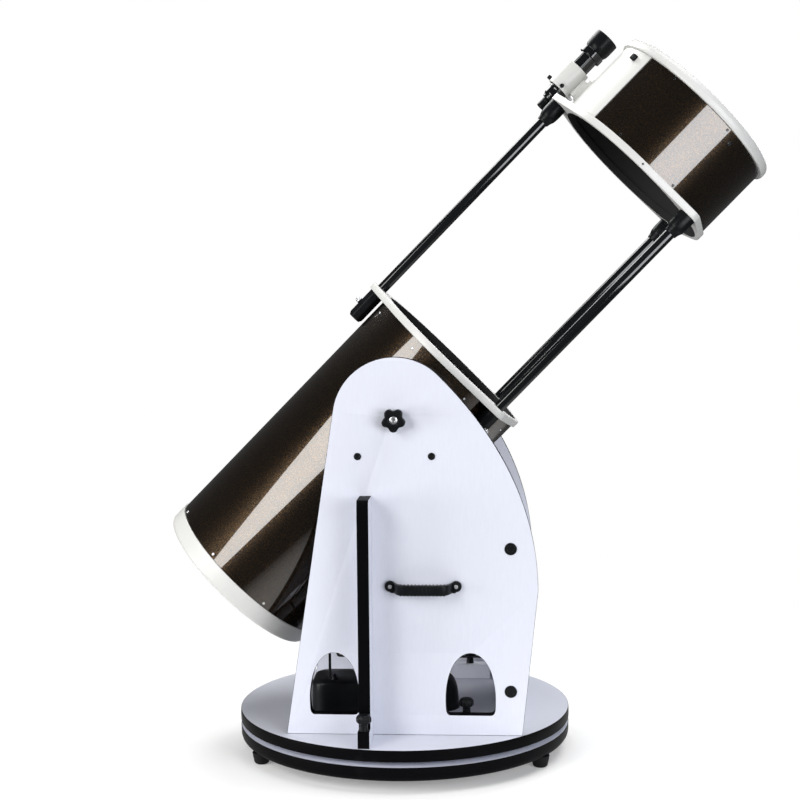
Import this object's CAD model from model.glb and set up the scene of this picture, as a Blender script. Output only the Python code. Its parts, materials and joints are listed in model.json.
# Looks of a collapsible-strut dobsonian telescope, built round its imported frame. Sizes are in millimetres.
import json
import math

import bmesh
import bpy
from mathutils import Matrix, Vector


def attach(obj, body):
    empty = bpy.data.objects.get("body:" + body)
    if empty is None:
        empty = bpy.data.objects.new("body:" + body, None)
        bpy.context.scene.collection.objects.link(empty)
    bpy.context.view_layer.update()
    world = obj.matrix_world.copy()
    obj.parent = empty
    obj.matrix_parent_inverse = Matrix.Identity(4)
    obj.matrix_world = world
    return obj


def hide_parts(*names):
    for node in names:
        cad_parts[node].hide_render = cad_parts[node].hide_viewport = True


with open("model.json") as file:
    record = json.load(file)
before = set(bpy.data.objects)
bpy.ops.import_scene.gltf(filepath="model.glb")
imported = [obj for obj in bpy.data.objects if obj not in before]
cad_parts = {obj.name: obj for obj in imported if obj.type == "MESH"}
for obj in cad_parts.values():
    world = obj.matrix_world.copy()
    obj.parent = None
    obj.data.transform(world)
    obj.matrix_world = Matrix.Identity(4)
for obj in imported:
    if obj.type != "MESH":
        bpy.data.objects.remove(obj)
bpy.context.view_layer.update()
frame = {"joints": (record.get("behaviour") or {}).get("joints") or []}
joints = {joint["name"]: joint for joint in frame["joints"]}
mm = 0.001
gap = 0.3  # between pieces that meet
print("frame loaded")

# places that everything else hangs on, all read from the frame
azimuthX = joints["azimuth_turn"]["pos_m"][0]
tubeOrigin = Vector(joints["altitude_tilt"]["pos_m"])
skyward = Vector(joints["tube_collapse"]["axis"]).normalized()
farward = Vector((0, 1, 0))
downward = farward.cross(skyward)
floorFrame = Matrix.Translation((azimuthX, 0, 0))
panelFrame = Matrix.Translation(tubeOrigin)
tubeFrame = Matrix.Translation(tubeOrigin) @ Matrix((downward, farward, skyward)).transposed().to_4x4()

# metres, radians and a lens in millimetres
camera = {"place": (0.07214, -3.36501, 1.03322), "yaw": -0.06602, "pitch": -0.06628, "roll": -0.00952,
          "lens": 65.1, "sensor": 36, "farthest": 60}


def addCamera():
    yaw, pitch, roll = camera["yaw"], camera["pitch"], camera["roll"]
    ahead = Vector((math.sin(yaw) * math.cos(pitch), math.cos(yaw) * math.cos(pitch), math.sin(pitch)))
    level = ahead.cross(Vector((0, 0, 1))).normalized()
    upright = level.cross(ahead)
    right = level * math.cos(roll) + upright * math.sin(roll)
    up = upright * math.cos(roll) - level * math.sin(roll)
    data = bpy.data.cameras.new("camera")
    data.lens = camera["lens"]
    data.sensor_width = camera["sensor"]
    data.clip_end = camera["farthest"]
    made = bpy.data.objects.new("camera", data)
    bpy.context.scene.collection.objects.link(made)
    turn = Matrix((right, up, -ahead)).transposed().to_4x4()
    made.matrix_world = Matrix.Translation(camera["place"]) @ turn
    bpy.context.scene.camera = made


addCamera()


# shader sums are written as Python sums
class Wire:
    def __init__(self, tree, socket):
        self.tree = tree
        self.socket = socket

    def sum(self, operation, first, second):
        node = self.tree.nodes.new("ShaderNodeMath")
        node.operation = operation
        for socket, value in zip(node.inputs, (first, second)):
            plug(self.tree, socket, value)
        return Wire(self.tree, node.outputs[0])

    def __add__(self, other):
        return self.sum("ADD", self, other)

    def __radd__(self, other):
        return self.sum("ADD", other, self)

    def __sub__(self, other):
        return self.sum("SUBTRACT", self, other)

    def __rsub__(self, other):
        return self.sum("SUBTRACT", other, self)

    def __mul__(self, other):
        return self.sum("MULTIPLY", self, other)

    def __rmul__(self, other):
        return self.sum("MULTIPLY", other, self)


def plug(tree, socket, value):
    if isinstance(value, Wire):
        tree.links.new(value.socket, socket)
    else:
        socket.default_value = value


finishes = {}


class Finish:
    def __init__(self, name, **constants):
        self.material = finishes[name] = bpy.data.materials.new(name)
        self.material.use_nodes = True
        self.tree = self.material.node_tree
        self.shader = self.tree.nodes["Principled BSDF"]
        for key, value in constants.items():
            self.put(key.replace("_", " "), value)

    def put(self, socket, value):
        plug(self.tree, self.shader.inputs[socket], value)

    def node(self, kind, settings=None, sockets=None, output=0):
        made = self.tree.nodes.new(kind)
        for key, value in (settings or {}).items():
            setattr(made, key, value)
        for key, value in (sockets or {}).items():
            plug(self.tree, made.inputs[key], value)
        return Wire(self.tree, made.outputs[output])

    def place(self, stretch=(1, 1, 1)):
        spot = self.node("ShaderNodeTexCoord", output="Object")
        return self.node("ShaderNodeMapping", sockets={"Vector": spot, "Scale": stretch})

    def noise(self, scale, detail, stretch=(1, 1, 1)):
        sockets = {"Vector": self.place(stretch), "Scale": scale, "Detail": detail}
        return self.node("ShaderNodeTexNoise", sockets=sockets)

    def cells(self, scale):
        sockets = {"Vector": self.place(), "Scale": scale}
        return self.node("ShaderNodeTexVoronoi", sockets=sockets, output="Color")

    def mix(self, share, first, second):
        first, second = [(*tone, 1) if isinstance(tone, tuple) else tone for tone in (first, second)]
        return self.node("ShaderNodeMix", {"data_type": "RGBA"}, {0: share, 6: first, 7: second}, output=2)

    def clamp(self, value, low, high, toLow=0.0, toHigh=1.0):
        sockets = {"Value": value, "From Min": low, "From Max": high, "To Min": toLow, "To Max": toHigh}
        return self.node("ShaderNodeMapRange", {"clamp": True}, sockets)

    def bump(self, height, depth):
        self.put("Normal", self.node("ShaderNodeBump", sockets={"Height": height, "Distance": depth * mm}))


def makeLaminate():
    finish = Finish("laminate", IOR=1.48)
    grain = finish.noise(260, 4, (1, 1, 0.12))
    cloud = finish.noise(5, 3)
    tone = finish.mix(grain, (0.615, 0.632, 0.715), (0.675, 0.690, 0.765))
    clouded = finish.clamp(cloud, 0.35, 0.75, 0, 0.35)
    finish.put("Base Color", finish.mix(clouded, tone, (0.635, 0.65, 0.715)))
    finish.put("Roughness", finish.clamp(grain, 0.2, 0.8, 0.38, 0.5))
    finish.bump(finish.noise(900, 3) + grain * 0.6, 0.06)


def makeBand():
    finish = Finish("edgeBand", IOR=1.5, Specular_IOR_Level=0.03)
    grain = finish.noise(420, 3)
    worn = finish.clamp(finish.noise(22, 5), 0.62, 0.78)
    finish.put("Base Color", finish.mix(worn * 0.35, (0.002, 0.002, 0.0025), (0.008, 0.008, 0.009)))
    finish.put("Roughness", finish.clamp(grain, 0.2, 0.8, 0.36, 0.52))
    finish.bump(grain, 0.08)


def makeCast():
    finish = Finish("whiteCast", IOR=1.5)
    peel = finish.noise(330, 2)
    cloud = finish.noise(9, 4)
    clouded = finish.clamp(cloud, 0.3, 0.8)
    finish.put("Base Color", finish.mix(clouded, (0.60, 0.60, 0.58), (0.64, 0.64, 0.625)))
    finish.put("Roughness", finish.clamp(peel, 0.25, 0.75, 0.3, 0.42))
    finish.bump(peel + finish.noise(1100, 2) * 0.4, 0.07)


def makeTubePaint():
    finish = Finish("tubePaint", Coat_Roughness=0.035, Coat_IOR=1.7, IOR=1.5)
    flake = finish.cells(1500)
    split = finish.node("ShaderNodeSeparateColor", sockets={"Color": flake})
    coarse = finish.noise(420, 2)
    shine = finish.clamp(split * 0.95 + coarse * 0.12, 0.62, 1.0)
    finish.put("Base Color", finish.mix(shine, (0.002, 0.0016, 0.0012), (0.115, 0.062, 0.02)))
    finish.put("Metallic", finish.clamp(shine, 0, 1, 0.75, 0.95))
    finish.put("Roughness", finish.clamp(coarse, 0.2, 0.8, 0.24, 0.31))
    finish.put("Coat Weight", finish.clamp(finish.noise(12, 3), 0.2, 0.8, 0.92, 1.0))
    finish.bump(split, 0.012)


def makeBlackMetal():
    finish = Finish("blackMetal", IOR=1.55)
    drawn = finish.noise(90, 3, (1, 1, 0.03))
    finish.put("Base Color", finish.mix(drawn, (0.003, 0.0036, 0.004), (0.007, 0.008, 0.009)))
    finish.put("Roughness", finish.clamp(drawn, 0.25, 0.75, 0.06, 0.1))
    finish.bump(drawn, 0.0006)


def makeBlackPlastic():
    finish = Finish("blackPlastic", IOR=1.48, Specular_IOR_Level=0.14)
    skin = finish.noise(700, 3)
    cloud = finish.noise(30, 3)
    finish.put("Base Color", finish.mix(cloud, (0.003, 0.0034, 0.004), (0.008, 0.009, 0.010)))
    finish.put("Roughness", finish.clamp(skin, 0.25, 0.75, 0.26, 0.4))
    finish.bump(skin, 0.05)


def makeDullBlack():
    finish = Finish("dullBlack", IOR=1.45)
    nap = finish.noise(900, 3)
    finish.put("Base Color", finish.mix(nap, (0.003, 0.003, 0.003), (0.008, 0.008, 0.0075)))
    finish.put("Roughness", finish.clamp(nap, 0.2, 0.8, 0.7, 0.9))
    finish.bump(nap, 0.1)


def makeRubber():
    finish = Finish("rubber", IOR=1.5, Specular_IOR_Level=0.12)
    skin = finish.noise(480, 4)
    finish.put("Base Color", finish.mix(skin, (0.005, 0.005, 0.005), (0.012, 0.012, 0.012)))
    finish.put("Roughness", finish.clamp(skin, 0.2, 0.8, 0.6, 0.8))
    finish.bump(skin, 0.15)


def makeSteel():
    finish = Finish("brightSteel", IOR=2.0)
    lathe = finish.noise(900, 3, (1, 1, 6))
    finish.put("Base Color", finish.mix(lathe, (0.55, 0.56, 0.58), (0.7, 0.7, 0.71)))
    finish.put("Metallic", finish.clamp(lathe, 0, 1, 0.97, 1.0))
    finish.put("Roughness", finish.clamp(lathe, 0.2, 0.8, 0.26, 0.4))


def makeMirror():
    finish = Finish("mirrorGlass", IOR=1.5)
    dust = finish.clamp(finish.noise(120, 5), 0.6, 0.8)
    finish.put("Base Color", finish.mix(dust * 0.3, (0.9, 0.93, 0.94), (0.75, 0.76, 0.76)))
    finish.put("Metallic", 1 - dust * 0.1)
    finish.put("Roughness", finish.clamp(dust, 0, 1, 0.015, 0.1))


def makeGlassEdge():
    finish = Finish("mirrorBlank", IOR=1.5)
    ground = finish.noise(600, 3)
    finish.put("Base Color", finish.mix(ground, (0.30, 0.36, 0.35), (0.42, 0.47, 0.46)))
    finish.put("Roughness", finish.clamp(ground, 0.2, 0.8, 0.35, 0.6))
    finish.bump(ground, 0.04)


for maker in (makeLaminate, makeBand, makeCast, makeTubePaint, makeBlackMetal, makeBlackPlastic,
              makeDullBlack, makeRubber, makeSteel, makeMirror, makeGlassEdge):
    maker()
# the record's slot that each finish stands for
print("finishes made")


# meshes are drawn in millimetres and come out in metres
def rounded(corners, radius, closed=False, steps=3):
    # softens the corners of a drawn line; a third number on a corner is its own radius
    line = []
    for index, corner in enumerate(corners):
        here = Vector(corner[:2])
        size = corner[2] if len(corner) > 2 else radius
        if size == 0 or (not closed and index in (0, len(corners) - 1)):
            line.append(here)
            continue
        back = Vector(corners[index - 1][:2]) - here
        on = Vector(corners[(index + 1) % len(corners)][:2]) - here
        reach = min(size, back.length * 0.45, on.length * 0.45)
        start, end = here + back.normalized() * reach, here + on.normalized() * reach
        for step in range(steps + 1):
            t = step / steps
            line.append(start * (1 - t) ** 2 + here * (2 * t * (1 - t)) + end * t * t)
    return line


def arc(x, y, radius, fromAngle, toAngle, steps):
    turns = [math.radians(fromAngle + (toAngle - fromAngle) * k / steps) for k in range(steps + 1)]
    return [(x + radius * math.cos(t), y + radius * math.sin(t)) for t in turns]


def circle(radius, points, away=0, angle=0):
    # a round outline, moved away from the middle at an angle
    turn = math.radians(angle)
    return arc(away * math.cos(turn), away * math.sin(turn), radius, 0, 360 - 360 / points, points - 1)


def bezier(a, b, c, d, steps):
    points = []
    for k in range(steps + 1):
        t = k / steps
        weights = ((1 - t) ** 3, 3 * t * (1 - t) ** 2, 3 * t * t * (1 - t), t ** 3)
        points.append(tuple(sum(w * p[i] for w, p in zip(weights, (a, b, c, d))) for i in (0, 1)))
    return points


def shaded(bm, tidy=True):
    # smooth shading that stays crisp at real corners and at the rims of wide flat faces
    if tidy:
        bmesh.ops.remove_doubles(bm, verts=bm.verts, dist=2e-6)
        bmesh.ops.dissolve_degenerate(bm, edges=bm.edges, dist=1e-6)
        bmesh.ops.recalc_face_normals(bm, faces=bm.faces)
    areas = {face: face.calc_area() for face in bm.faces}
    for face in bm.faces:
        face.smooth = True
    for edge in bm.edges:
        if len(edge.link_faces) != 2:
            continue
        angle = math.degrees(edge.calc_face_angle(0))
        small, large = sorted(areas[face] for face in edge.link_faces)
        edge.smooth = not (angle > 38 or (angle > 3 and large > 25 * max(small, 1e-12)))
    mesh = bpy.data.meshes.new("part")
    bm.to_mesh(mesh)
    bm.free()
    return mesh


def skinned(bm, rows, closed=False):
    for low, high in list(zip(rows, rows[1:])) + ([(rows[-1], rows[0])] if closed else []):
        for k in range(len(low)):
            n = (k + 1) % len(low)
            bm.faces.new((low[k], low[n], high[n], high[k]))


def spun(profile, fillet=0.8, closed=False, segments=96, wave=None, steps=3):
    # turns a [radius, height] profile about Z; wave makes lobes, flutes or knurls
    line = rounded(profile, fillet, closed, steps)
    bm = bmesh.new()
    rows = []
    for point in line:
        row = []
        for k in range(segments):
            angle = 2 * math.pi * k / segments
            radius = point.x * (wave(angle, point.x, point.y) if wave else 1)
            x, y = radius * math.cos(angle), radius * math.sin(angle)
            row.append(bm.verts.new((x * mm, y * mm, point.y * mm)))
        rows.append(row)
    skinned(bm, rows, closed)
    return shaded(bm)


def rod(radius, low, high, segments=64, footEdge=0, topEdge=0):
    corners = [(0, low), (radius, low, footEdge), (radius, high, topEdge), (0, high)]
    return spun(corners, 0, segments=segments)


def plate(outlines, low, high, bevel=0.8, steps=1):
    # a flat piece between two heights; the first outline is its edge and the others are holes in it
    curve = bpy.data.curves.new("outline", "CURVE")
    curve.dimensions = "2D"
    curve.fill_mode = "BOTH"
    for outline in outlines:
        spline = curve.splines.new("POLY")
        spline.points.add(len(outline) - 1)
        for point, spot in zip(spline.points, outline):
            point.co = (spot[0] * mm, spot[1] * mm, 0, 1)
        spline.use_cyclic_u = True
    curve.extrude = ((high - low) / 2 - bevel) * mm
    curve.bevel_depth = bevel * mm
    curve.bevel_resolution = steps
    curve.offset = -bevel * mm
    holder = bpy.data.objects.new("outline", curve)
    bpy.context.scene.collection.objects.link(holder)
    graph = bpy.context.evaluated_depsgraph_get()
    flat = bpy.data.meshes.new_from_object(holder.evaluated_get(graph))
    bpy.data.objects.remove(holder)
    bpy.data.curves.remove(curve)
    bm = bmesh.new()
    bm.from_mesh(flat)
    bpy.data.meshes.remove(flat)
    bmesh.ops.translate(bm, verts=bm.verts, vec=(0, 0, (low + high) / 2 * mm))
    return shaded(bm)


def block(x, y, z, bevel=1.0, steps=2):
    bm = bmesh.new()
    bmesh.ops.create_cube(bm, size=1)
    for vertex in bm.verts:
        for axis, span in enumerate((x, y, z)):
            vertex.co[axis] = (span[0] + (vertex.co[axis] + 0.5) * (span[1] - span[0])) * mm
    bmesh.ops.bevel(bm, geom=bm.edges[:], offset=bevel * mm, segments=steps, profile=0.5, affect="EDGES")
    return shaded(bm)


def swept(path, radius, sides):
    # a round cable that follows a list of points
    points = [Vector(p) for p in path]
    bm = bmesh.new()
    rows = []
    side = None
    for index, point in enumerate(points):
        ahead = points[min(index + 1, len(points) - 1)] - points[max(index - 1, 0)]
        ahead.normalize()
        if side is None:
            side = ahead.orthogonal().normalized()
        side = (side - ahead * side.dot(ahead)).normalized()
        other = ahead.cross(side)
        turns = [2 * math.pi * k / sides for k in range(sides)]
        loop = [point + (side * math.cos(t) + other * math.sin(t)) * radius for t in turns]
        rows.append([bm.verts.new(spot * mm) for spot in loop])
    skinned(bm, rows)
    bm.faces.new(rows[0])
    bm.faces.new(rows[-1])
    return shaded(bm)


def moved(mesh, matrix):
    # a matrix given with its shift in millimetres
    matrix = matrix.copy()
    matrix.translation = matrix.translation * mm
    mesh.transform(matrix)
    if matrix.determinant() < 0:
        mesh.flip_normals()
    return mesh


def tinted(mesh, index, rule=None):
    for polygon in mesh.polygons:
        if rule is None or rule(polygon.normal, polygon.center / mm):
            polygon.material_index = index
    return mesh


def together(*meshes):
    bm = bmesh.new()
    for mesh in meshes:
        bm.from_mesh(mesh)
        bpy.data.meshes.remove(mesh)
    made = bpy.data.meshes.new("part")
    bm.to_mesh(made)
    bm.free()
    return made


def carved(mesh, *cutters):
    # cuts closed meshes out of a mesh
    base = bpy.data.objects.new("carving", mesh)
    bpy.context.scene.collection.objects.link(base)
    helpers = []
    for cutter in cutters:
        helper = bpy.data.objects.new("cutter", cutter)
        bpy.context.scene.collection.objects.link(helper)
        modifier = base.modifiers.new("cut", "BOOLEAN")
        modifier.operation = "DIFFERENCE"
        modifier.solver = "EXACT"
        modifier.object = helper
        helpers.append(helper)
    graph = bpy.context.evaluated_depsgraph_get()
    result = bpy.data.meshes.new_from_object(base.evaluated_get(graph))
    for helper in [base, *helpers]:
        bpy.data.objects.remove(helper)
    bm = bmesh.new()
    bm.from_mesh(result)
    bpy.data.meshes.remove(result)
    bmesh.ops.remove_doubles(bm, verts=bm.verts, dist=2e-6)
    return shaded(bm, tidy=False)


def piece(name, mesh, place, body, looks, *nodes):
    made = bpy.data.objects.new(name, mesh)
    mesh.name = name
    bpy.context.scene.collection.objects.link(made)
    made.matrix_world = place
    looksOfFaces = [polygon.material_index for polygon in mesh.polygons]
    mesh.materials.clear()
    for look in looks:
        mesh.materials.append(finishes[look])
    mesh.polygons.foreach_set("material_index", looksOfFaces)
    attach(made, body)
    if nodes:
        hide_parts(*nodes)
    return made


def settled(mesh):
    # moves a tube piece's mesh to where it stands, so that its box is a close one
    mesh.transform(tubeFrame)
    return mesh


def standing(x, y, z):
    # a place given in millimetres
    return Matrix.Translation((x * mm, y * mm, z * mm))


def turnedBy(axis, degrees):
    return Matrix.Rotation(math.radians(degrees), 4, axis)


def shift(x=0, y=0, z=0):
    return Matrix.Translation((x, y, z))


def around(angle, radius=0, along=0):
    # a spot beside the tube, at an angle counted from its upper side towards -Y, with X outwards
    turn = turnedBy("Z", angle + 180)
    return turn @ shift(radius, 0, along)


def outward(angle, radius=0, along=0):
    # the same spot for a mesh drawn along Z, which then points out of the tube
    return around(angle, radius, along) @ turnedBy("Y", 90)


def lobes(count, depth, power, low, high, least):
    # a wave for round pieces with flutes or fingers, only between two heights and past a radius
    def wave(angle, radius, height):
        if radius < least or not low <= height <= high:
            return 1
        crest = 0.5 + 0.5 * math.cos(count * angle)
        return 1 - depth * (1 - crest ** power)
    return wave


def screwHead(radius=3.2, height=1.8):
    # pan-head screw with a cross recess
    cross = lobes(4, 0.42, 2, height * 0.55, height * 1.2, 0)
    outer = [(0, -1.5), (radius, -1.5), (radius, height * 0.45), (radius * 0.72, height)]
    inner = [(radius * 0.5, height), (radius * 0.42, height * 0.5), (0, height * 0.45)]

    def recess(angle, r, z):
        return cross(angle, r, z) if r < radius * 0.55 else 1

    return spun(outer + inner, 0.35, segments=24, wave=recess)


base = {"discRadius": 386, "groundBottom": 26.5, "groundTop": 58.3, "turntableBottom": 69.8,
        "turntableTop": 95, "pinRadius": 6.3, "footCircle": 362,
        "footAngles": {"left": 210, "right": 330, "rear": 90}}


def flatTop(normal, centre):
    return normal.z > 0.985


def flatSides(normal, centre):
    return abs(normal.z) > 0.985


def boardEdges(normal, centre):
    return abs(normal.z) < 0.985


def addBase():
    rim, pin = base["discRadius"], base["pinRadius"]
    low, high = base["groundBottom"], base["groundTop"]
    profile = [(pin, low), (rim - 8, low, 5), (rim - 1.5, low + 9, 6), (rim - 1, high, 1.2), (pin, high)]
    ground = tinted(spun(profile, 0.5, True, 192), 1, flatTop)
    piece("groundBoard", ground, floorFrame, "ground", ("edgeBand", "laminate"), "ground_board")
    low, high = base["turntableBottom"], base["turntableTop"]
    middle = (low + high) / 2
    profile = [(pin, low), (rim - 1, low, 1), (rim - 0.3, middle, 8), (rim - 1, high, 1), (pin, high)]
    table = tinted(spun(profile, 0.5, True, 192), 1, flatSides)
    piece("turntableBoard", table, floorFrame, "rocker", ("edgeBand", "laminate"), "turntable_board")
    bearing = spun([(150, 58.6), (176, 58.6), (176, 69.5), (150, 69.5)], 0.8, True)
    piece("bearingRing", bearing, floorFrame, "ground", ("blackPlastic",), "azimuth_bearing_ring")
    profile = [(0, 14), (12, 14), (12, 26.2), (6, 26.2), (6, 95.3), (17, 95.3), (17, 97.3), (0, 97.3)]
    shank = spun(profile, 0.4, segments=48)
    head = plate([circle(12, 6)], 97, 104.3, 0.6)
    piece("pivotBolt", together(shank, head), floorFrame, "ground", ("brightSteel",), "pivot_bolt")
    for name, degrees in base["footAngles"].items():
        angle = math.radians(degrees)
        away = base["footCircle"]
        place = floorFrame @ standing(away * math.cos(angle), away * math.sin(angle), 0)
        profile = [(0, 0), (12.5, 0, 1.5), (16.5, 3, 3), (18.6, 14, 2), (19.4, 15.5, 1), (21, 26.2, 0.6),
                   (0, 26.2)]
        foot = spun(profile, 0.6, segments=64)
        piece(f"foot{name.capitalize()}", foot, place, "ground", ("rubber",), f"foot_{name}")


addBase()
print("base made")

panel = {"outer": 270, "inner": 245, "bore": 8.6, "crown": 134, "foot": 690.1, "rearFoot": -242,
         "frontFoot": 273, "belly": (308, -372), "windows": (-136, 161), "windowHalf": 55, "windowLow": 646,
         "windowHigh": 509.5, "smallCaps": ((-80, -80), (80, -80)), "largeCaps": ((249, -281), (248, -593))}


def panelOutline():
    crown = panel["crown"]
    diagonal = crown * math.sqrt(0.5)
    lean = math.degrees(math.atan(0.15))
    belly = panel["belly"]
    front = bezier(belly, (308, -172), (diagonal + 110, diagonal - 110), (diagonal, diagonal), 40)
    return [(panel["rearFoot"], -panel["foot"]), (panel["frontFoot"], -panel["foot"]), *front,
            *arc(0, 0, crown, 45, 180 - lean, 48)[1:]]


def windowOutline(centre):
    half, low, high = panel["windowHalf"], -panel["windowLow"], -panel["windowHigh"]
    side = bezier((half - 2, low + 12), (half + 4, low + 85), (half * 0.62, high), (0, high), 20)
    corner = bezier((half - 13, low), (half - 6, low), (half - 3, low + 4), (half - 2, low + 12), 6)
    right = corner + side[1:]
    left = [(-x, y) for x, y in reversed(right)][1:-1]
    return [(centre + x, y) for x, y in right + left]


def addPanel(label, side):
    # drawn lying flat, then stood up with its thickness along Y
    end = label.lower()
    span = (panel["inner"], panel["outer"]) if side < 0 else (-panel["outer"], -panel["inner"])
    outlines = [panelOutline(), arc(0, 0, panel["bore"], 0, 351, 40), *map(windowOutline, panel["windows"])]
    board = tinted(plate(outlines, *span, bevel=0.7), 1, boardEdges)
    stood = moved(board, turnedBy("X", 90))
    piece(f"sidePanel{label}", stood, panelFrame, "rocker", ("laminate", "edgeBand"), f"side_panel_{end}")
    caps = []
    for spots, radius, height in ((panel["smallCaps"], 8, 2.2), (panel["largeCaps"], 13.5, 2.0)):
        for x, z in spots:
            profile = [(0, -0.5), (radius, -0.5), (radius, height * 0.5, 0.8), (radius - 2, height, 0.8)]
            dish = [(radius * 0.55, height), (radius * 0.48, height - 0.7), (0, height - 0.8)]
            cap = spun(profile + dish, 0.4, segments=48)
            caps.append(moved(cap, shift(x, side * panel["outer"], z) @ turnedBy("X", -90 * side)))
    piece(f"screwCaps{label}", together(*caps), panelFrame, "rocker", ("blackPlastic",))


brace = {"x": -64, "thickness": 25, "start": 270.3, "depth": 76, "height": 620, "footDepth": 106,
         "footHeight": 36, "knobY": 363.8, "cleatX": 151, "cleatHalf": 50, "cleatWidth": 36,
         "cleatKnobY": 227}


def addBrace(label, side):
    start, low, half = brace["start"], base["turntableTop"] + gap, brace["thickness"] / 2
    step, top = base["turntableTop"] + brace["footHeight"], brace["height"]
    toe, front = start + brace["footDepth"], start + brace["depth"]
    corners = [(start, low, 0.5), (toe, low, 0.5), (toe, step, 3), (front, step, 4), (front, top, 10),
               (start, top, 0.5)]
    board = plate([rounded(corners, 1, True, 4)], -half, half, 0.7)

    def banded(normal, centre):
        return boardEdges(normal, centre) and centre.x > start + 1 and centre.y > low + 1

    # drawn with X away from the panel and Y upwards
    turn = Matrix(((0, 0, 1, brace["x"]), (side, 0, 0, 0), (0, 1, 0, 0), (0, 0, 0, 1)))
    stood = moved(tinted(board, 1, banded), turn)
    piece(f"brace{label}", stood, floorFrame, "rocker", ("laminate", "edgeBand"), f"brace_{label.lower()}")


def handKnobMesh():
    # mushroom hand knob: fluted head with a domed top on a waisted neck
    neck = [(0, 0.3), (9.8, 0.3, 0.8), (8.2, 8, 4), (9, 16, 2)]
    dome = [(15.2, 18.5, 2), (16.3, 21, 1.5), (16.3, 29, 2), (12.5, 34.5, 5), (6, 35.8, 3), (0, 36)]
    head = spun(neck + dome, 1, wave=lobes(8, 0.1, 0.6, 17.5, 33, 11))
    stud = spun([(0, -28), (3.4, -28, 0.8), (4, -27), (4, 1), (0, 1)], 0.3, segments=32)
    return together(head, tinted(stud, 1))


def addHandKnob(name, node, x, y):
    place = floorFrame @ standing(x, y, base["turntableTop"] + brace["footHeight"])
    piece(name, handKnobMesh(), place, node, ("blackPlastic", "brightSteel"), node)


def addCleat(label, side):
    outer = panel["inner"] - gap
    y = sorted((side * outer, side * (outer - brace["cleatWidth"])))
    x = (brace["cleatX"] - brace["cleatHalf"], brace["cleatX"] + brace["cleatHalf"])
    bar = block(x, y, (base["turntableTop"] + gap, base["turntableTop"] + brace["footHeight"]), 0.8)
    tinted(bar, 1, lambda normal, centre: abs(normal.x) > 0.9)
    piece(f"cleat{label}", bar, floorFrame, "rocker", ("laminate", "edgeBand"), f"cleat_{label.lower()}")


handle = {"x": 59.7, "drop": 362, "half": 83.5, "lug": 25, "bow": 40, "thickness": 15, "width": 24,
          "ribs": 13, "ribPitch": 7.8}


def addHandle():
    half, lug, bow, thick = handle["half"], handle["lug"], handle["bow"], handle["thickness"]
    width = handle["width"] / 2
    under = bow - thick
    inner = bezier((-half + lug, 0), (-half + lug + 4, under - 2), (-38, under), (-22, under), 10)
    outer = bezier((40, bow), (54, bow - 1), (half - lug + 1, bow - 12), (half - lug + 5, 9), 12)
    right = [(-x, y) for x, y in reversed(inner)]
    left = [(-x, y) for x, y in outer]
    outline = [(-half + width, 0.3), *inner, *right, (half - width, 0.3), (half - width, 9),
               *reversed(outer), *left, (-half + width, 9)]
    bar = plate([outline], -width + 4.4, width + 2.4, 3, 3)
    pad = [(0, 0.3), (width, 0.3), (width, 7, 2), (width - 2, 9.2, 1), (0, 9.2)]
    parts = [bar]
    for sign in (-1, 1):
        parts.append(moved(spun(pad, 1, segments=48), shift(sign * (half - width)) @ turnedBy("X", -90)))
    for k in range(handle["ribs"]):
        # grip ribs: slim bands round the bowed bar
        x = (k - (handle["ribs"] - 1) / 2) * handle["ribPitch"]
        middle = bow - thick / 2 - 0.0009 * abs(x) ** 2
        across = (middle - thick / 2 - 0.8, middle + thick / 2 + 0.4)
        parts.append(block((x - 2.1, x + 2.1), across, (-width + 3.4, width + 3.4), 1.7, 3))
    for sign in (-1, 1):
        end, standUp = sign * (half - width), turnedBy("X", -90)
        boss = spun([(7.4, 8.8), (7.4, 10.6, 0.8), (5.4, 10.6, 0.6), (5.2, 9.3, 0.3)], 0.4, True, 40)
        parts.append(moved(boss, shift(end) @ standUp))
        parts.append(moved(tinted(screwHead(4.4, 1.4), 1), shift(end, 9.1) @ standUp))
    mesh = moved(together(*parts), turnedBy("X", 180))
    axisFrame = Matrix.Translation((azimuthX, 0, tubeOrigin.z))
    place = axisFrame @ standing(handle["x"], -panel["outer"] - gap, -handle["drop"])
    piece("carryHandle", mesh, place, "rocker", ("blackPlastic", "brightSteel"), "carry_handle")


drives = {"coverSize": (150, 130), "coverCorner": 36, "coverPlace": (-128, -105), "motorPlace": (76, -40),
          "boxHalf": 95, "boxDepth": 24, "boxLow": -118, "boxHigh": -62}


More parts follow.
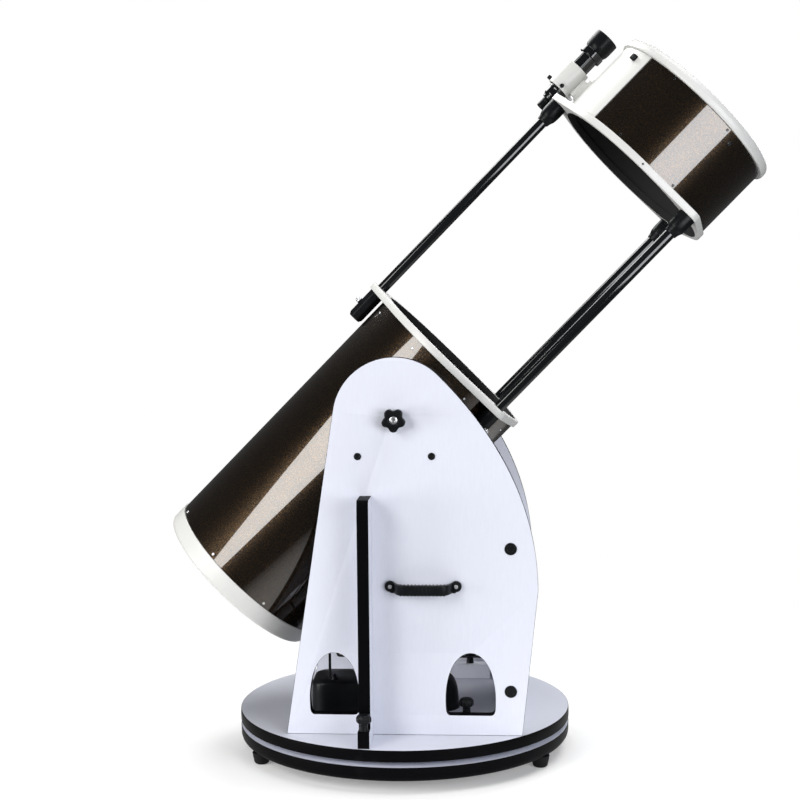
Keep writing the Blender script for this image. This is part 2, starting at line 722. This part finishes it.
def addDrives():
    width, depth = drives["coverSize"]
    floor = base["turntableTop"] + gap
    bm = bmesh.new()
    rows = []
    levels = [(0, 0), (0, 60), (0.6, 79), (1.6, 83.5), (4, 86.6), (8, 88.2), (22, 90.4), (42, 91.8)]
    for inset, height in levels:
        x, y, radius = width / 2 - inset, depth / 2 - inset, max(drives["coverCorner"] - inset * 0.7, 8)
        line = []
        for k, (right, up) in enumerate(((1, 1), (-1, 1), (-1, -1), (1, -1))):
            line += arc(right * (x - radius), up * (y - radius), radius, 90 * k, 90 * k + 90, 10)
        rows.append([bm.verts.new((px * mm, py * mm, height * mm)) for px, py in line])
    skinned(bm, rows)
    bm.faces.new(rows[-1])
    bm.faces.new(reversed(rows[0]))
    cover = shaded(bm)
    seam = block((-width / 2 - 0.1, width / 2 + 0.1), (-20, 20), (30, 33), 0.6)
    place = floorFrame @ standing(*drives["coverPlace"], floor)
    cover = together(cover, seam)
    piece("azimuthDriveCover", cover, place, "rocker", ("blackPlastic",), "azimuth_drive_cover")
    place = floorFrame @ standing(*drives["motorPlace"], floor)
    skirt = [(0, 0), (56, 0), (56, 10, 2), (53.5, 12.5, 2)]
    bell = spun(skirt + [(50.5, 48, 14), (42, 70, 16), (26, 81.5, 10), (10, 83.8, 4), (0, 84)], 1)
    piece("azimuthMotor", bell, place, "rocker", ("blackPlastic",), "azimuth_motor")
    half, low, high = drives["boxHalf"], drives["boxLow"], drives["boxHigh"]
    back = -panel["inner"] + gap
    front = back + drives["boxDepth"]
    box = block((-half, half), (back, front), (low, high), 5, 4)
    lid = block((-half + 12, half - 12), (front - 1, front + 0.9), (low + 10, high - 10), 0.8)
    piece("altitudeDrive", together(box, lid), panelFrame, "rocker", ("blackPlastic",), "altitude_drive")


cable = {"radius": 2.9, "start": (-150, -148, 182), "crest": 206, "panelY": -232, "end": (-82, 662)}


def addDriveCable():
    # lead from the base drive's cover up the near panel's inner face to the tube's drive
    x, y, z = cable["start"]
    edge, crest = cable["panelY"], cable["crest"]
    endX, endZ = cable["end"]
    over = bezier((y, z), (y, crest - 3), (y - 20, crest - 2), (y - 44, crest), 8)
    over += bezier((y - 50, crest), (edge, crest), (edge, crest + 6), (edge, crest + 40), 8)
    climb = bezier((x, crest + 60), (x, crest + 220), (endX, endZ - 200), (endX, endZ + 6), 22)
    path = [(x, py, pz) for py, pz in over] + [(px, edge, pz) for px, pz in climb]
    lead = swept(path, cable["radius"], 12)
    boot = spun([(0, 0), (8, 0), (7.4, 5), (4.6, 15, 2), (0, 15)], 1, segments=32)
    boot = moved(boot, shift(x, y, z + 0.5))
    clips = []
    for px, pz in (climb[5], climb[14]):
        clips.append(block((px - 5, px + 5), (-panel["inner"] + 0.2, edge + 4.5), (pz - 4, pz + 4), 1.2))
    piece("driveCable", together(lead, boot, *clips), floorFrame, "rocker", ("blackPlastic",))


tensionKnob = {"radius": 26, "lobes": 5, "valley": 5.8}


def addTensionKnob():
    outline = []
    for k in range(120):
        angle = 2 * math.pi * k / 120
        valley = (0.5 - 0.5 * math.cos(tensionKnob["lobes"] * (angle + math.pi / 2))) ** 1.5
        radius = tensionKnob["radius"] - tensionKnob["valley"] * valley
        outline.append((radius * math.cos(angle), radius * math.sin(angle)))
    star = plate([outline, circle(9.2, 48)], 8, 29.7, 3, 4)
    collar = spun([(8.6, 0.3), (13, 0.3), (13, 8.5), (8.6, 8.5)], 0.6, True, 48)
    nut = [(0, 12), (9, 12), (9, 26.5, 0.6), (6, 27.4, 0.4), (4.4, 27.4, 0.4), (4, 21), (0, 21)]
    insert = tinted(spun(nut, 0.4, segments=48), 1)
    mesh = moved(together(star, collar, insert), turnedBy("X", 90))
    place = panelFrame @ standing(0, -panel["outer"], 0)
    piece("tensionKnob", mesh, place, "tension_knob", ("blackPlastic", "brightSteel"), "tension_knob")


frontBoard = {"x": (236, 261), "top": 540}


def addRocker():
    for label, side in (("Near", -1), ("Far", 1)):
        end = label.lower()
        addPanel(label, side)
        addBrace(label, side)
        addCleat(label, side)
        addHandKnob(f"braceKnob{label}", f"brace_knob_{end}", brace["x"], side * brace["knobY"])
        addHandKnob(f"cleatKnob{label}", f"cleat_knob_{end}", brace["cleatX"], side * brace["cleatKnobY"])
    inner = panel["inner"] - gap
    front = block(frontBoard["x"], (-inner, inner), (base["turntableTop"] + gap, frontBoard["top"]), 0.8)
    tinted(front, 1, lambda normal, centre: normal.z > 0.7)
    piece("frontBoard", front, floorFrame, "rocker", ("laminate", "edgeBand"), "front_board")
    addHandle()
    addDrives()
    addDriveCable()
    addTensionKnob()


addRocker()
print("rocker made")

tube = {"radius": 207, "wall": 2, "rearEnd": -558.3, "rearRing": 40.7, "ringInner": 200, "ringOuter": 213,
        "ringThickness": 16.3, "lowerRing": 153.8, "upperRing": 753.6, "topRing": 947.2, "topEnd": 971,
        "strutCircle": 230, "strutRadius": 12.3, "struts": {"Top": 0, "Near": 130, "Far": -130}, "lobe": 23,
        "guideLow": 76.5, "lockAt": 115, "strutLow": 84, "strutHigh": 742, "capLength": 53}


def shellMesh(low, high):
    r, wall = tube["radius"], tube["wall"]
    shell = spun([(r - wall, low), (r, low), (r, high), (r - wall, high)], 0.4, True, 160, steps=2)
    return tinted(shell, 1, lambda normal, centre: normal.x * centre.x + normal.y * centre.y < 0)


def ringOutline(outer):
    # the ring's round edge with a lobe drawn out over each strut, on straight flanks
    away, lobe = tube["strutCircle"], tube["lobe"]
    flank = math.degrees(math.acos((outer - lobe) / away))
    points = []
    angles = sorted((angle + 180) % 360 for angle in tube["struts"].values())
    for index, angle in enumerate(angles):
        x, y = away * math.cos(math.radians(angle)), away * math.sin(math.radians(angle))
        points += arc(x, y, lobe, angle - flank, angle + flank, 16)
        after = angles[(index + 1) % len(angles)] + (360 if index == len(angles) - 1 else 0)
        points += arc(0, 0, outer, angle + flank, after - flank, 60)[1:-1]
    return points


def strutRing(low, outer, bored):
    holes = [circle(tube["ringInner"], 144)]
    if bored:
        for angle in tube["struts"].values():
            holes.append(circle(tube["strutRadius"] + 0.5, 36, tube["strutCircle"], angle + 180))
    ring = plate([ringOutline(outer), *holes], low, low + tube["ringThickness"], 1.3, 2)
    dark = tube["ringInner"] + 1.6
    return tinted(ring, 1, lambda normal, centre: math.hypot(centre.x, centre.y) < dark
                  and normal.x * centre.x + normal.y * centre.y < 0)


def ringScrews(name, body, along, angles, radius, size=3.2, look="brightSteel"):
    parts = [moved(screwHead(size), outward(angle, radius, along)) for angle in angles]
    piece(name, together(*parts), tubeFrame, body, (look,))


eighths = [22.5 + 45 * k for k in range(8)]
cell = {"gap": 14, "thickness": 10, "holeCircle": 120, "hole": 34, "studCircle": 150, "stud": 4.7,
        "postCircle": 140, "post": 11, "hub": 38}
mirror = {"radius": 178, "rim": -480, "back": -515, "focalLength": 1650}


def addMirrorCell():
    back = tube["rearEnd"] + cell["gap"]
    edge = circle(tube["radius"] - tube["wall"] - 0.4, 120)
    holes = [circle(cell["hole"], 36, cell["holeCircle"], angle) for angle in range(30, 390, 60)]
    holes += [circle(cell["stud"], 18, cell["studCircle"], angle + 180) for angle in (60, 180, 300)]
    parts = [plate([edge, *holes], back, back + cell["thickness"], 1.2, 2)]
    for angle in (0, 120, 240):
        post = rod(cell["post"], back + cell["thickness"] - 2, mirror["back"] - 0.5, 40, 0.6, 1)
        parts.append(moved(post, around(angle, cell["postCircle"])))
    hub = rod(cell["hub"], back - 2, back + 1, 64, 1, 0.8)
    piece("mirrorCell", together(*parts, hub), tubeFrame, "lower_tube", ("blackMetal",), "mirror_cell")
    for k in range(3):
        grip = [(0, -26), (10.5, -26, 1.5), (13, -22.5, 1.5), (13, -8.5, 2)]
        stud = [(8, -0.4, 2), (4, -0.3), (4, 9, 0.6), (0, 9)]
        knurled = spun(grip + stud, 0.5, wave=lobes(24, 0.07, 1, -23.5, -7, 9))
        place = around(60 + 120 * k, cell["studCircle"], back)
        piece(f"collimationKnob{k + 1}", moved(knurled, place), tubeFrame, f"collimation_knob_{k + 1}",
              ("blackPlastic",), f"collimation_knob_{k + 1}")


def addMirror():
    radius, back, rim = mirror["radius"], mirror["back"], mirror["rim"]
    bowl = []
    for share in (1, 0.85, 0.7, 0.55, 0.4, 0.25, 0.12, 0):
        depth = (1 - share * share) * radius * radius / (4 * mirror["focalLength"])
        bowl.append((radius * share - (0.4 if share == 1 else 0), rim - depth))
    disc = spun([(0, back), (radius - 0.4, back, 1), *bowl], 0.6, segments=128)
    tinted(disc, 1, lambda normal, centre: centre.z < rim - 0.2 and normal.z < 0.9)
    piece("primaryMirror", disc, tubeFrame, "lower_tube", ("mirrorGlass", "mirrorBlank"), "primary_mirror")


def addStrutGuide(label, angle):
    low, high = tube["guideLow"], tube["lowerRing"] - gap
    bore, lockAt, end = tube["strutRadius"] + 0.4, tube["lockAt"], label.lower()

    def eightSided(turn, radius, height):
        # flats with softened edges between them, on the outside only
        if radius < 14:
            return 1
        return 1 / max(0.94, math.cos((turn + math.pi / 8) % (math.pi / 4) - math.pi / 8)) * 0.965

    profile = [(bore, low), (14, low, 1), (18, low + 7, 2), (18, high, 0.6), (bore, high)]
    sleeve = spun(profile, 0.6, True, wave=eightSided)
    boss = moved(rod(7.2, 15, 19.3, 32, 0.5, 0.8), shift(0, 0, lockAt) @ turnedBy("Y", 90))
    guide = moved(together(sleeve, boss), around(angle, tube["strutCircle"]))
    piece(f"strutGuide{label}", guide, tubeFrame, "lower_tube", ("blackPlastic",), f"strut_guide_{end}")
    start = tube["strutCircle"] + tube["strutRadius"] + gap
    out = tube["strutCircle"] + 19.5
    profile = [(0, start), (3.7, start), (3.7, out), (6.4, out, 0.8), (6.4, out + 6.5, 1),
               (4.6, out + 8.6, 1), (0, out + 8.8)]
    lock = spun(profile, 0.4, segments=72, wave=lobes(18, 0.08, 1, out + 0.5, out + 7.4, 5))
    piece(f"strutLock{label}", moved(lock, outward(angle, 0, lockAt)), tubeFrame, f"strut_lock_knob_{end}",
          ("brightSteel",), f"strut_lock_knob_{end}")


trunnion = {"hub": 55, "hubFace": 244.6, "shaft": 8, "reach": {"Near": 288, "Far": 270}}


def addTrunnion(label, side):
    face, wide = trunnion["hubFace"], trunnion["hub"]
    profile = [(0, 150), (wide, 150), (wide, face, 2), (42, face, 1), (40, 243, 1), (0, 243)]
    shaft = rod(trunnion["shaft"], 200, trunnion["reach"][label], 48, 0.6, 1)
    body = moved(together(spun(profile, 1), shaft), turnedBy("X", -90 * side))
    mesh = carved(body, rod(tube["radius"] + gap, -120, 120, 160))
    piece(f"trunnion{label}", mesh, tubeFrame, "lower_tube", ("blackMetal",), f"trunnion_{label.lower()}")


def addLowerTube():
    inset = tube["rearEnd"] + 8
    shell = shellMesh(inset, tube["lowerRing"] - gap)
    piece("lowerTube", shell, tubeFrame, "lower_tube", ("tubePaint", "dullBlack"), "lower_tube")
    r, end = tube["radius"], tube["rearEnd"]
    high = end + tube["rearRing"]
    profile = [(192, end, 1), (r, end, 2), (r + 2.9, end + 5, 3), (r + 2.9, high, 1), (r + gap, high, 0.3),
               (r + gap, inset - gap, 0.3), (192, inset - gap, 0.5)]
    rear = settled(spun(profile, 0.8, True, 160))
    piece("rearRing", rear, Matrix(), "lower_tube", ("whiteCast",), "rear_ring")
    ringScrews("rearScrews", "lower_tube", end + tube["rearRing"] + 8, eighths, r - 0.2)
    ring = strutRing(tube["lowerRing"], tube["ringOuter"], True)
    piece("lowerTubeRing", ring, tubeFrame, "lower_tube", ("whiteCast", "dullBlack"), "lower_tube_ring")
    ringScrews("lowerRingScrews", "lower_tube", 132, eighths, r - 0.2)
    addMirrorCell()
    addMirror()
    for label, angle in tube["struts"].items():
        addStrutGuide(label, angle)
    for label, side in (("Near", -1), ("Far", 1)):
        addTrunnion(label, side)


addLowerTube()
print("lower tube made")

focus = {"angle": -62, "along": 855, "plateFrom": -95, "plateTo": 45, "plateThickness": 2.2,
         "opening": 29.5, "bore": 27.8, "shaftSide": 30.8, "shaftUp": 28}


def addStruts():
    low, high, r = tube["strutLow"], tube["strutHigh"], tube["strutRadius"]
    capHigh = tube["upperRing"] - gap
    capLow = capHigh - tube["capLength"]
    for label, angle in tube["struts"].items():
        end, place = label.lower(), around(angle, tube["strutCircle"])
        bar = moved(rod(r, low, high, 64, 1, 1), place)
        piece(f"strut{label}", bar, tubeFrame, "upper_tube", ("blackMetal",), f"strut_{end}")
        profile = [(r + gap, capLow, 0.4), (14.4, capLow, 1.2), (16, capLow + 9, 5), (19.6, capLow + 17, 7),
                   (21, capLow + 30, 9), (20.9, capHigh, 0.6), (r + gap, capHigh, 0.3)]
        cap = moved(spun(profile, 0.5, True, steps=5), place)
        piece(f"strutCap{label}", cap, tubeFrame, "upper_tube", ("blackPlastic",), f"strut_cap_{end}")


def focuserOpening():
    return moved(rod(focus["opening"], 150, 260), outward(focus["angle"], 0, focus["along"]))


def curvedPlate(low, high):
    # plate rolled to the tube's radius, with rounded edges
    inner = tube["radius"] + gap
    outer = inner + focus["plateThickness"]
    start, end = focus["plateFrom"] + 180, focus["plateTo"] + 180
    return plate([arc(0, 0, outer, start, end, 72) + arc(0, 0, inner, end, start, 72)], low, high, 0.5)


def addUpperTube():
    low = tube["upperRing"] + tube["ringThickness"] + gap
    high = tube["topRing"] - gap
    shell = tinted(carved(shellMesh(low, high), focuserOpening()), 0)
    tinted(shell, 1, lambda normal, centre: math.hypot(centre.x, centre.y) < tube["radius"] - 0.5)
    piece("upperTube", shell, tubeFrame, "upper_tube", ("tubePaint", "dullBlack"), "upper_tube")
    ring = strutRing(tube["upperRing"], tube["ringOuter"] - 0.4, False)
    piece("upperTubeRing", ring, tubeFrame, "upper_tube", ("whiteCast", "dullBlack"), "upper_tube_ring")
    topLow, topHigh = tube["topRing"], tube["topEnd"]
    inner = tube["ringInner"]
    profile = [(inner, topLow, 0.8), (214, topLow, 2), (215.8, topLow + 5, 3), (215.8, topHigh - 8, 6),
               (210, topHigh - 0.4, 5), (203, topHigh - 0.4, 2), (inner, topHigh - 3, 1)]
    top = spun(profile, 1, True, 160)
    tinted(top, 1, lambda normal, centre: math.hypot(centre.x, centre.y) < inner + 0.8)
    piece("topRing", settled(top), Matrix(), "upper_tube", ("whiteCast", "dullBlack"), "top_ring")
    cover = carved(curvedPlate(low, high), focuserOpening())
    piece("focuserPlate", cover, tubeFrame, "upper_tube", ("whiteCast",), "focuser_plate")
    bare = [angle for angle in eighths if not -100 < (angle + 180) % 360 - 180 < 50]
    plated = [angle for angle in eighths if angle not in bare]
    surface = tube["radius"] - 0.2
    ringScrews("topRingScrews", "upper_tube", 940.5, bare, surface, look="blackMetal")
    ringScrews("upperRingScrews", "upper_tube", 776.5, bare, surface, look="blackMetal")
    ringScrews("ringEdgeScrews", "upper_tube", 762, (-90, -27, 27, 90, 151, 209), 212.2, 2.4, "blackMetal")
    ringScrews("plateScrews", "upper_tube", 776.5, plated, tube["radius"] + 2.4, 2.6)
    bolt = moved(screwHead(5.4, 3.4), outward(120, surface, 926))
    piece("vaneBolt", together(bolt), tubeFrame, "upper_tube", ("blackMetal",))
    stub = block((209.4, 219), (-7, 7), (919, 933), 2.2, 3)
    cleft = block((214, 221), (-1.6, 1.6), (918, 934), 0.4)
    piece("plateKnob", moved(carved(stub, cleft), around(34)), tubeFrame, "upper_tube", ("blackPlastic",))


def addFocuser():
    surface = tube["radius"] + gap + focus["plateThickness"]
    spot = outward(focus["angle"], 0, focus["along"])
    side, up = focus["shaftSide"], surface + focus["shaftUp"]
    crosswise = spot @ shift(0, side, up) @ turnedBy("Y", 90)
    flange = block((-42, 42), (-44, 44), (190, surface + 12), 5, 4)
    barrel = spun([(0, 195), (36, 195), (36, surface + 44, 2), (33, surface + 48, 2), (0, surface + 48)], 1)
    saddle = block((-22, 22), (20, 44), (surface + 14, surface + 42), 3, 3)
    seat = moved(rod(surface + 1, -90, 90, 160), shift(0, 0, focus["along"]))
    bore = moved(rod(focus["bore"], 100, 400), spot)
    shaftHole = moved(rod(3.3, -90, 90, 32), crosswise)
    seated = [carved(moved(part, spot), seat.copy()) for part in (flange, barrel, saddle)]
    parts = [carved(part, bore.copy(), shaftHole.copy()) for part in seated]
    for x in (-33, 33):
        for y in (-35, 35):
            parts.append(tinted(moved(screwHead(3.4), spot @ shift(x, y, surface + 11.8)), 1))
    body = together(*parts)
    piece("focuserBody", body, tubeFrame, "upper_tube", ("blackMetal", "brightSteel"), "focuser_body")
    profile = [(25.4, surface - 6, 0.3), (27.5, surface - 6, 0.4), (27.5, surface + 56, 0.5),
               (33.5, surface + 56, 1), (33.5, surface + 59, 0.8), (32.6, surface + 60, 0.4),
               (33.5, surface + 61, 0.8), (33.5, surface + 74, 1.2), (25.4, surface + 74, 0.6)]
    draw = moved(spun(profile, 0.6, True), spot)
    profile = [(0, 30), (2, 30), (2, 35), (5, 35, 0.8), (5, 44, 1), (0, 44)]
    thumb = spun(profile, 0.4, segments=60, wave=lobes(15, 0.08, 1, 35.5, 43.5, 4))
    thumb = moved(thumb, spot @ shift(0, 0, surface + 67) @ turnedBy("Z", 60) @ turnedBy("Y", 90))
    piece("drawtube", together(draw, thumb), tubeFrame, "drawtube", ("brightSteel",), "drawtube")
    half = [(3, 44, 0.3), (16, 44, 1), (18, 46.5, 1), (18, 58, 1.5), (15.5, 62, 1), (9, 62, 0.6),
            (8.4, 61, 0.4), (0, 60.8)]
    profile = [(r, -z, *rest) for r, z, *rest in reversed(half)] + half

    def knurl(turn, r, z):
        return 1 - 0.05 * (0.5 - 0.5 * math.cos(36 * turn)) if r > 17 and 47 < abs(z) < 58.5 else 1

    wheels = spun(profile, 0.5, segments=144, wave=knurl)
    piece("focusKnobs", moved(wheels, crosswise), tubeFrame, "focus_knobs", ("blackMetal",), "focus_knobs")


secondary = {"radius": 37, "thickness": 12, "hubLow": 912, "hubHigh": 944, "vanes": (916, 938), "vane": 0.6}


def addSpider():
    low, high, vane = secondary["hubLow"], secondary["hubHigh"], secondary["vane"]
    reach = tube["radius"] - tube["wall"] - 1.2
    dish = high - 2
    profile = [(0, low), (20, low, 1), (20, high - 4, 2), (15, high, 2), (8, high), (7.4, dish), (0, dish)]
    parts = [spun(profile, 0.8, segments=64)]
    for x, y in ((reach, vane), (vane, reach)):
        parts.append(block((-x, x), (-y, y), secondary["vanes"], 0.2, 1))
    for k in range(3):
        parts.append(tinted(moved(screwHead(2.6), turnedBy("Z", 120 * k) @ shift(12, 0, high - 0.8)), 1))
    spider = moved(together(*parts), turnedBy("Z", focus["angle"] + 45))
    piece("spider", spider, tubeFrame, "upper_tube", ("blackMetal", "brightSteel"), "spider")


def addSecondary():
    along, radius, slant = focus["along"], secondary["radius"], secondary["thickness"] * math.sqrt(2)

    def wedge(offset, facing):
        cube = block((-100, 100), (-100, 100), (0, 200) if facing > 0 else (-200, 0), 0.01, 1)
        return moved(cube, turnedBy("Z", focus["angle"]) @ shift(0, 0, along + offset) @ turnedBy("Y", 45))

    def column(r):
        return rod(r, along - 60, secondary["hubLow"] - gap, 96)

    disc = carved(column(radius), wedge(0, -1), wedge(slant, 1))
    normal = (turnedBy("Z", focus["angle"]) @ turnedBy("Y", 45)).to_3x3() @ Vector((0, 0, 1))
    tinted(disc, 1, lambda facing, centre: facing.dot(normal) > -0.9)
    looks = ("mirrorGlass", "mirrorBlank")
    piece("secondaryMirror", disc, tubeFrame, "upper_tube", looks, "secondary_mirror")
    holder = carved(column(radius - 2), wedge(slant + 0.6, -1))
    piece("secondaryHolder", holder, tubeFrame, "upper_tube", ("blackPlastic",), "secondary_holder")


addStruts()
addUpperTube()
addFocuser()
addSpider()
addSecondary()
print("upper tube made")

finder = {"angle": -12, "radius": 265, "ringLow": 786, "ringHigh": 852, "barrel": 22.5}


def addFinder():
    spot = around(finder["angle"], finder["radius"])
    low, high, barrel = finder["ringLow"], finder["ringHigh"], finder["barrel"]
    profile = [(0, 753), (13.2, 753, 0.2), (16.8, 752, 1.5), (17.4, 757, 1), (21.2, 763, 3),
               (21.5, low - 8, 1), (barrel, low - 5, 0.6), (barrel, 886, 0.4), (28, 886.8, 0.8),
               (28, 903, 1), (23, 903, 0.4), (23, 896, 0.3), (0, 893)]

    def knurl(turn, radius, height):
        # knurled lock ring, and long shallow flutes on the barrel behind it
        if radius > 27 and 888 < height < 902:
            return 1 - 0.03 * (0.5 - 0.5 * math.cos(48 * turn))
        if radius > 22 and 850 < height < 886.5:
            return 1 - 0.03 * (0.5 - 0.5 * math.cos(24 * turn)) ** 3
        return 1

    body = spun(profile, 0.6, segments=192, wave=knurl)
    profile = [(0, 893.5), (22.6, 893.5), (22.6, 897, 0.3), (16, 898.6, 4), (0, 899.6)]
    barrelMesh = moved(together(body, tinted(spun(profile, 0.4), 1)), spot)
    piece("finderTube", barrelMesh, tubeFrame, "upper_tube", ("blackMetal", "mirrorBlank"), "finder_tube")
    profile = [(24, 903.3, 0.3), (25.8, 903.3, 0.6), (29.4, 913, 5), (30, 922, 3), (30, 946, 1),
               (27.6, 946, 0.8), (27, 917, 3)]
    shield = settled(moved(spun(profile, 0.5, True, 128), spot))
    piece("finderDewShield", shield, Matrix(), "finder_dew_shield", ("blackPlastic",), "finder_dew_shield")
    profile = [(0, 728.5), (8.6, 728.5, 0.8), (9.6, 727.2, 0.6), (12.2, 727.2, 1.5), (13.1, 730, 1),
               (13.1, 744, 0.6), (12.4, 745, 0.4), (13.1, 746, 0.6), (13.1, 752.6), (0, 752.6)]
    eyepiece = moved(spun(profile, 0.4), spot)
    piece("finderEyepiece", eyepiece, tubeFrame, "upper_tube", ("blackPlastic",), "finder_eyepiece")
    addFinderBracket(spot, low, high)


def addFinderBracket(spot, low, high):
    drop = finder["radius"] - tube["radius"] - gap - focus["plateThickness"]
    profile = [(25.5, low, 0.6), (30.3, low, 1.5), (30.3, high, 1.5), (25.5, high, 0.6)]
    collar = spun(profile, 0.8, True, 128)
    stalk = block((-drop + 2, -28), (-10, 10), (low + 10, high - 12), 3, 3)
    foot = block((-drop + 0.2, -drop + 12), (-18, 18), (low + 4, high - 4), 2.5, 3)
    rail = block((-drop - 0.6, -drop + 4), (-23, 23), (low - 4, high + 2), 1.5, 2)
    seat = rod(tube["radius"] + 3.2, low - 40, high + 40, 160)
    parts = [moved(collar, spot), moved(stalk, spot), moved(foot, spot), carved(moved(rail, spot), seat)]
    inward = shift(0, 0, low + 7) @ turnedBy("Y", 90)
    profile = [(0, 24), (3, 24), (3, 32), (5, 32, 0.8), (5, 40, 1), (0, 40)]
    fluted = lobes(12, 0.1, 1, 32.5, 39.5, 4)
    second = moved(spun(profile, 0.4, segments=48, wave=fluted), spot @ turnedBy("Z", 105) @ inward)
    profile = [(0, 24), (6.4, 24), (6.4, 40, 1.2), (4.6, 41.5, 0.8), (4.6, 46, 0.8), (0, 46)]
    spring = moved(spun(profile, 0.5, segments=48), spot @ turnedBy("Z", 232) @ inward)
    profile = [(0, 17), (2.6, 17), (2.6, 23), (6, 23, 0.8), (6, 32, 1), (0, 32)]
    clamp = spun(profile, 0.4, segments=48, wave=lobes(12, 0.1, 1, 23.5, 31.5, 5))
    clamp = moved(clamp, spot @ shift(-drop + 6, 0, low + 20) @ turnedBy("X", 90))
    mesh = together(*parts, tinted(second, 1), tinted(spring, 2), tinted(clamp, 2))
    looks = ("whiteCast", "blackPlastic", "brightSteel")
    piece("finderBracket", mesh, tubeFrame, "upper_tube", looks, "finder_bracket")
    profile = [(0, 22.8), (2.6, 22.8), (3, 23.4), (3, 32), (5, 32, 0.8), (5, 40, 1), (0, 40)]
    screw = moved(spun(profile, 0.3, segments=48, wave=fluted), spot @ inward)
    piece("finderScrew", screw, tubeFrame, "finder_screw", ("blackPlastic",), "finder_screw")


addFinder()
print("finder made")

studio = {"floorRadius": 9, "floorTone": 0.82, "worldTone": 0.06, "exposure": 0.0}
lamps = {
    "leftSoftbox": {"place": (-1.95, -2.35, 1.75), "aim": (-0.35, 0, 0.75), "size": (1.1, 2.1), "roll": 24,
                    "power": 58, "tint": (1, 0.99, 0.97)},
    "rightSoftbox": {"place": (1.55, -2.2, 0.86), "aim": (0.35, 0, 1.15), "size": (1.9, 1.1), "roll": -37,
                     "power": 50, "tint": (0.94, 0.96, 1)},
    "overhead": {"place": (0.9, -0.5, 4.0), "aim": (0.2, -0.2, 0.4), "size": (2.4, 2.4), "roll": 0,
                 "power": 74, "tint": (1, 1, 1)},
    "backSoftbox": {"place": (-0.76, 1.43, 3.08), "aim": (0.35, -0.05, 1.5), "size": (1.7, 1.4), "roll": 0,
                    "power": 52, "tint": (1, 1, 1)},
    "sideFill": {"place": (-2.9, -1.2, 0.5), "aim": (0, 0.1, 0.25), "size": (1.2, 1.0), "roll": 0,
                 "power": 46, "tint": (1, 1, 1)},
    "behind": {"place": (1.6, 2.6, 2.4), "aim": (0.2, 0, 0.9), "size": (1.8, 1.6), "roll": 0,
               "power": 60, "tint": (1, 1, 1)},
}


def addFloor():
    bm = bmesh.new()
    bmesh.ops.create_circle(bm, cap_ends=True, segments=96, radius=studio["floorRadius"])
    mesh = bpy.data.meshes.new("floor")
    bm.to_mesh(mesh)
    bm.free()
    floor = bpy.data.objects.new("floor", mesh)
    floor.location.z = -0.0003
    bpy.context.scene.collection.objects.link(floor)
    finish = Finish("paleFloor", Roughness=0.9, Specular_IOR_Level=0.1, Emission_Strength=0.22)
    spot = finish.node("ShaderNodeTexCoord", output="Object")
    reach = finish.node("ShaderNodeVectorMath", {"operation": "LENGTH"}, {0: spot}, output="Value")
    cloud = finish.noise(3, 3)
    tone = studio["floorTone"]
    finish.put("Base Color", finish.mix(cloud, (tone, tone, tone), (tone * 1.01, tone * 1.01, tone * 1.01)))
    finish.put("Emission Color", finish.mix(cloud, (1, 1, 1), (0.98, 0.98, 0.98)))
    finish.put("Alpha", finish.clamp(reach, 0.45, 1.5, 1.0, 0.0))
    mesh.materials.append(finish.material)


def addLamp(name, settings):
    data = bpy.data.lights.new(name, "AREA")
    data.shape = "RECTANGLE"
    data.size, data.size_y = settings["size"]
    data.energy = settings["power"]
    data.color = settings["tint"]
    made = bpy.data.objects.new(name, data)
    bpy.context.scene.collection.objects.link(made)
    made.location = settings["place"]
    facing = (Vector(settings["aim"]) - made.location).to_track_quat("-Z", "Y").to_matrix().to_4x4()
    made.rotation_euler = (facing @ turnedBy("Z", settings["roll"])).to_euler()


def addWorld():
    world = bpy.data.worlds.new("studio")
    bpy.context.scene.world = world
    world.use_nodes = True
    tree = world.node_tree
    background = tree.nodes["Background"]
    path = tree.nodes.new("ShaderNodeLightPath")
    seen = Wire(tree, path.outputs["Is Camera Ray"])
    plug(tree, background.inputs["Color"], (1, 1, 1, 1))
    plug(tree, background.inputs["Strength"], seen * (1 - studio["worldTone"]) + studio["worldTone"])
    view = bpy.context.scene.view_settings
    view.view_transform = "Standard"
    view.look = "None"
    view.exposure = studio["exposure"]


addFloor()
for lampName, lampSettings in lamps.items():
    addLamp(lampName, lampSettings)
addWorld()
print("stage made")
